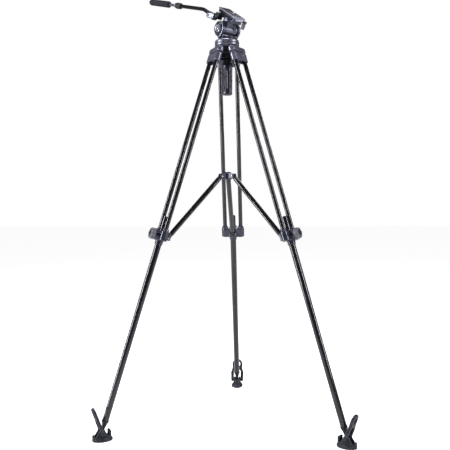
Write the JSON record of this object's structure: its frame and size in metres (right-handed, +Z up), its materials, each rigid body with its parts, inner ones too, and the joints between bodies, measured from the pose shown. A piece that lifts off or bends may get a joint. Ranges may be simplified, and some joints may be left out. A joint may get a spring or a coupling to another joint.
{
  "type": "video tripod with fluid head",
  "caption": "Standing video tripod with twin-tube telescopic legs, a mid-level spreader, rubber shoes and a levelling fluid head with pan handle and sliding plate.",
  "frame": {"origin": "on the ground, in the middle of the box round the whole tripod", "axes": "+Z up, +Y towards the rear leg, +X to the right seen from the two front legs"},
  "size_m": [0.9192, 0.801, 1.6695],
  "materials": {
    "casting_blue_grey": "satin",
    "plate_grey": "satin anodised",
    "tube_black": "gloss black anodised",
    "knob_plastic": "fine grain",
    "clamp_knob_grey": "satin",
    "rubber_slate": "moulded",
    "steel_bright": "turned",
    "button_red": "moulded"
  },
  "bodies": {
    "crown": {"bowl_crown": "casting_blue_grey", "hinge_pin_1": "steel_bright", "hinge_pin_2": "steel_bright", "hinge_pin_3": "steel_bright"},
    "leg_1": {"leg_bracket_1": "casting_blue_grey", "upper_tube_1a": "tube_black", "upper_tube_1b": "tube_black", "leg_collar_1": "casting_blue_grey"},
    "lock_knob_1": {"lock_knob_1": "knob_plastic"},
    "lower_leg_1": {"lower_tube_1": "tube_black", "spike_1": "steel_bright"},
    "shoe_1": {"shoe_1": "rubber_slate", "shoe_pin_1": "steel_bright"},
    "shoe_strap_1": {"shoe_strap_1": "rubber_slate"},
    "leg_2": {"leg_bracket_2": "casting_blue_grey", "upper_tube_2a": "tube_black", "upper_tube_2b": "tube_black", "leg_collar_2": "casting_blue_grey"},
    "lock_knob_2": {"lock_knob_2": "knob_plastic"},
    "lower_leg_2": {"lower_tube_2": "tube_black", "spike_2": "steel_bright"},
    "shoe_2": {"shoe_2": "rubber_slate", "shoe_pin_2": "steel_bright"},
    "shoe_strap_2": {"shoe_strap_2": "rubber_slate"},
    "leg_3": {"leg_bracket_3": "casting_blue_grey", "upper_tube_3a": "tube_black", "upper_tube_3b": "tube_black", "leg_collar_3": "casting_blue_grey"},
    "lock_knob_3": {"lock_knob_3": "knob_plastic"},
    "lower_leg_3": {"lower_tube_3": "tube_black", "spike_3": "steel_bright"},
    "shoe_3": {"shoe_3": "rubber_slate", "shoe_pin_3": "steel_bright"},
    "shoe_strap_3": {"shoe_strap_3": "rubber_slate"},
    "spreader_hub": {"spreader_hub": "casting_blue_grey"},
    "spreader_arm_1": {"spreader_arm_1": "tube_black"},
    "spreader_arm_2": {"spreader_arm_2": "tube_black"},
    "spreader_arm_3": {"spreader_arm_3": "tube_black"},
    "head_base": {"half_ball": "casting_blue_grey", "clamp_washer": "steel_bright"},
    "tie_down_handle": {"tie_down_handle": "knob_plastic"},
    "pan_body": {"pan_yoke": "casting_blue_grey", "tilt_side_cap": "knob_plastic"},
    "tilt_drag_dial": {"tilt_drag_dial": "plate_grey"},
    "pan_lock_knob": {"pan_lock_knob": "knob_plastic"},
    "tilt_body": {"tilt_drum": "casting_blue_grey", "tilt_saddle": "casting_blue_grey", "plate_base": "plate_grey"},
    "tilt_lock_knob": {"tilt_lock_knob": "knob_plastic"},
    "slide_plate": {"slide_plate": "plate_grey"},
    "plate_lock_knob": {"plate_lock_knob": "knob_plastic"},
    "safety_button": {"safety_button": "button_red"},
    "camera_screw": {"camera_screw": "steel_bright"},
    "video_pin": {"video_pin": "steel_bright"},
    "pan_handle": {"handle_clamp": "knob_plastic", "handle_tube": "tube_black"},
    "clamp_knob": {"handle_clamp_knob": "clamp_knob_grey"},
    "handle_collar": {"handle_collar": "knob_plastic"},
    "handle_grip": {"handle_rod": "steel_bright", "handle_grip": "rubber_slate"}
  },
  "joints": [
    {"name": "leg_1_fold", "type": "hinge", "parent": "crown", "child": "leg_1", "pos_m": [-0.03802, -0.1457, 1.39], "axis": [0.5, -0.866, 0], "range_deg": [0, 14]},
    {"name": "lock_knob_1_turn", "type": "hinge", "parent": "leg_1", "child": "lock_knob_1", "pos_m": [-0.22998, -0.25653, 0.707], "axis": [-0.8237, -0.4756, 0.3087], "range_deg": [-180, 0]},
    {"name": "lower_leg_1_slide", "type": "slide", "parent": "leg_1", "child": "lower_leg_1", "axis": [0.2673, 0.1543, 0.9512], "range_m": [0, 0.5]},
    {"name": "shoe_1_pivot", "type": "hinge", "parent": "lower_leg_1", "child": "shoe_1", "pos_m": [-0.42081, -0.36671, 0.028], "axis": [0.5, -0.866, 0], "range_deg": [-10, 14]},
    {"name": "shoe_strap_1_bend", "type": "hinge", "parent": "shoe_1", "child": "shoe_strap_1", "pos_m": [-0.42081, -0.36671, 0.028], "axis": [0.5, -0.866, 0], "range_deg": [0, 45], "stiffness_Nm_per_rad": 1},
    {"name": "leg_2_fold", "type": "hinge", "parent": "crown", "child": "leg_2", "pos_m": [0.03802, -0.1457, 1.39], "axis": [0.5, 0.866, 0], "range_deg": [0, 14]},
    {"name": "lock_knob_2_turn", "type": "hinge", "parent": "leg_2", "child": "lock_knob_2", "pos_m": [0.22998, -0.25653, 0.707], "axis": [0.8237, -0.4756, 0.3087], "range_deg": [-180, 0]},
    {"name": "lower_leg_2_slide", "type": "slide", "parent": "leg_2", "child": "lower_leg_2", "axis": [-0.2673, 0.1543, 0.9512], "range_m": [0, 0.5]},
    {"name": "shoe_2_pivot", "type": "hinge", "parent": "lower_leg_2", "child": "shoe_2", "pos_m": [0.42081, -0.36671, 0.028], "axis": [0.5, 0.866, 0], "range_deg": [-10, 14]},
    {"name": "shoe_strap_2_bend", "type": "hinge", "parent": "shoe_2", "child": "shoe_strap_2", "pos_m": [0.42081, -0.36671, 0.028], "axis": [0.5, 0.866, 0], "range_deg": [0, 45], "stiffness_Nm_per_rad": 1},
    {"name": "leg_3_fold", "type": "hinge", "parent": "crown", "child": "leg_3", "pos_m": [0, -0.07985, 1.39], "axis": [-1, 0, 0], "range_deg": [0, 14]},
    {"name": "lock_knob_3_turn", "type": "hinge", "parent": "leg_3", "child": "lock_knob_3", "pos_m": [0, 0.1418, 0.707], "axis": [0, 0.9512, 0.3087], "range_deg": [-180, 0]},
    {"name": "lower_leg_3_slide", "type": "slide", "parent": "leg_3", "child": "lower_leg_3", "axis": [0, -0.3087, 0.9512], "range_m": [0, 0.5]},
    {"name": "shoe_3_pivot", "type": "hinge", "parent": "lower_leg_3", "child": "shoe_3", "pos_m": [0, 0.36216, 0.028], "axis": [-1, 0, 0], "range_deg": [-10, 14]},
    {"name": "shoe_strap_3_bend", "type": "hinge", "parent": "shoe_3", "child": "shoe_strap_3", "pos_m": [0, 0.36216, 0.028], "axis": [-1, 0, 0], "range_deg": [0, 45], "stiffness_Nm_per_rad": 1},
    {"name": "spreader_hub_slide", "type": "slide", "parent": "crown", "child": "spreader_hub", "axis": [0, 0, 1], "range_m": [0, 0.05534]},
    {"name": "spreader_arm_1_swing", "type": "hinge", "parent": "spreader_hub", "child": "spreader_arm_1", "pos_m": [-0.02252, -0.13675, 0.926], "axis": [0.5, -0.866, 0], "range_deg": [0, 35.75]},
    {"name": "spreader_arm_2_swing", "type": "hinge", "parent": "spreader_hub", "child": "spreader_arm_2", "pos_m": [0.02252, -0.13675, 0.926], "axis": [0.5, 0.866, 0], "range_deg": [0, 35.75]},
    {"name": "spreader_arm_3_swing", "type": "hinge", "parent": "spreader_hub", "child": "spreader_arm_3", "pos_m": [0, -0.09775, 0.926], "axis": [-1, 0, 0], "range_deg": [0, 35.75]},
    {"name": "head_level", "type": "hinge", "parent": "crown", "child": "head_base", "pos_m": [0, -0.12375, 1.431], "axis": [-1, 0, 0], "range_deg": [-7, 7]},
    {"name": "tie_down_turn", "type": "hinge", "parent": "head_base", "child": "tie_down_handle", "pos_m": [0, -0.12375, 1.431], "axis": [0, 0, 1], "continuous": true},
    {"name": "pan", "type": "hinge", "parent": "head_base", "child": "pan_body", "pos_m": [0, -0.12375, 1.431], "axis": [0, 0, 1], "continuous": true},
    {"name": "tilt_drag_turn", "type": "hinge", "parent": "pan_body", "child": "tilt_drag_dial", "pos_m": [0.00134, -0.12524, 1.471], "axis": [-0.7447, -0.6674, 0], "range_deg": [-150, 150]},
    {"name": "pan_lock_turn", "type": "hinge", "parent": "pan_body", "child": "pan_lock_knob", "pos_m": [0, -0.12375, 1.4445], "axis": [0.0546, 0.9985, 0], "range_deg": [-180, 0]},
    {"name": "tilt", "type": "hinge", "parent": "pan_body", "child": "tilt_body", "pos_m": [0.00134, -0.12524, 1.471], "axis": [-0.7447, -0.6674, 0], "range_deg": [-27, 93]},
    {"name": "tilt_lock_turn", "type": "hinge", "parent": "tilt_body", "child": "tilt_lock_knob", "pos_m": [0.02147, -0.14771, 1.4991], "axis": [-0.7447, -0.6674, 0], "range_deg": [-180, 0]},
    {"name": "plate_slide", "type": "slide", "parent": "tilt_body", "child": "slide_plate", "axis": [0.5598, -0.6245, -0.5446], "range_m": [-0.025, 0.025]},
    {"name": "plate_lock_turn", "type": "hinge", "parent": "tilt_body", "child": "plate_lock_knob", "pos_m": [0.04849, -0.1314, 1.44758], "axis": [0.3635, -0.4056, 0.8387], "range_deg": [-180, 0]},
    {"name": "safety_button_press", "type": "slide", "parent": "tilt_body", "child": "safety_button", "axis": [-0.7447, -0.6674, 0], "range_m": [0, 0.0025], "stiffness_N_per_m": 400},
    {"name": "camera_screw_turn", "type": "hinge", "parent": "slide_plate", "child": "camera_screw", "pos_m": [0.00357, -0.12774, 1.46882], "axis": [0.3635, -0.4056, 0.8387], "continuous": true},
    {"name": "video_pin_press", "type": "slide", "parent": "slide_plate", "child": "video_pin", "axis": [-0.3635, 0.4056, -0.8387], "range_m": [0, 0.004], "stiffness_N_per_m": 300},
    {"name": "handle_angle", "type": "hinge", "parent": "tilt_body", "child": "pan_handle", "pos_m": [-0.04514, -0.1483, 1.51577], "axis": [0.7447, 0.6674, 0], "range_deg": [-45, 60]},
    {"name": "clamp_knob_turn", "type": "hinge", "parent": "pan_handle", "child": "clamp_knob", "pos_m": [-0.04514, -0.1483, 1.51577], "axis": [-0.7447, -0.6674, 0], "range_deg": [-180, 0]},
    {"name": "handle_collar_twist", "type": "hinge", "parent": "pan_handle", "child": "handle_collar", "pos_m": [-0.09005, -0.1012, 1.55882], "axis": [-0.725, 0.6202, 0.2995], "range_deg": [-90, 0]},
    {"name": "handle_extend", "type": "slide", "parent": "pan_handle", "child": "handle_grip", "axis": [-0.725, 0.6202, 0.2995], "range_m": [-0.04, 0.06]}
  ],
  "couplings": [
    {"joint": "leg_2_fold", "follows": "leg_1_fold", "ratio": 1},
    {"joint": "leg_3_fold", "follows": "leg_1_fold", "ratio": 1},
    {"joint": "spreader_hub_slide", "follows": "leg_1_fold", "m_per_rad": 0.22568},
    {"joint": "spreader_arm_1_swing", "follows": "leg_1_fold", "ratio": 2.5497},
    {"joint": "spreader_arm_2_swing", "follows": "leg_1_fold", "ratio": 2.5497},
    {"joint": "spreader_arm_3_swing", "follows": "leg_1_fold", "ratio": 2.5497}
  ]
}
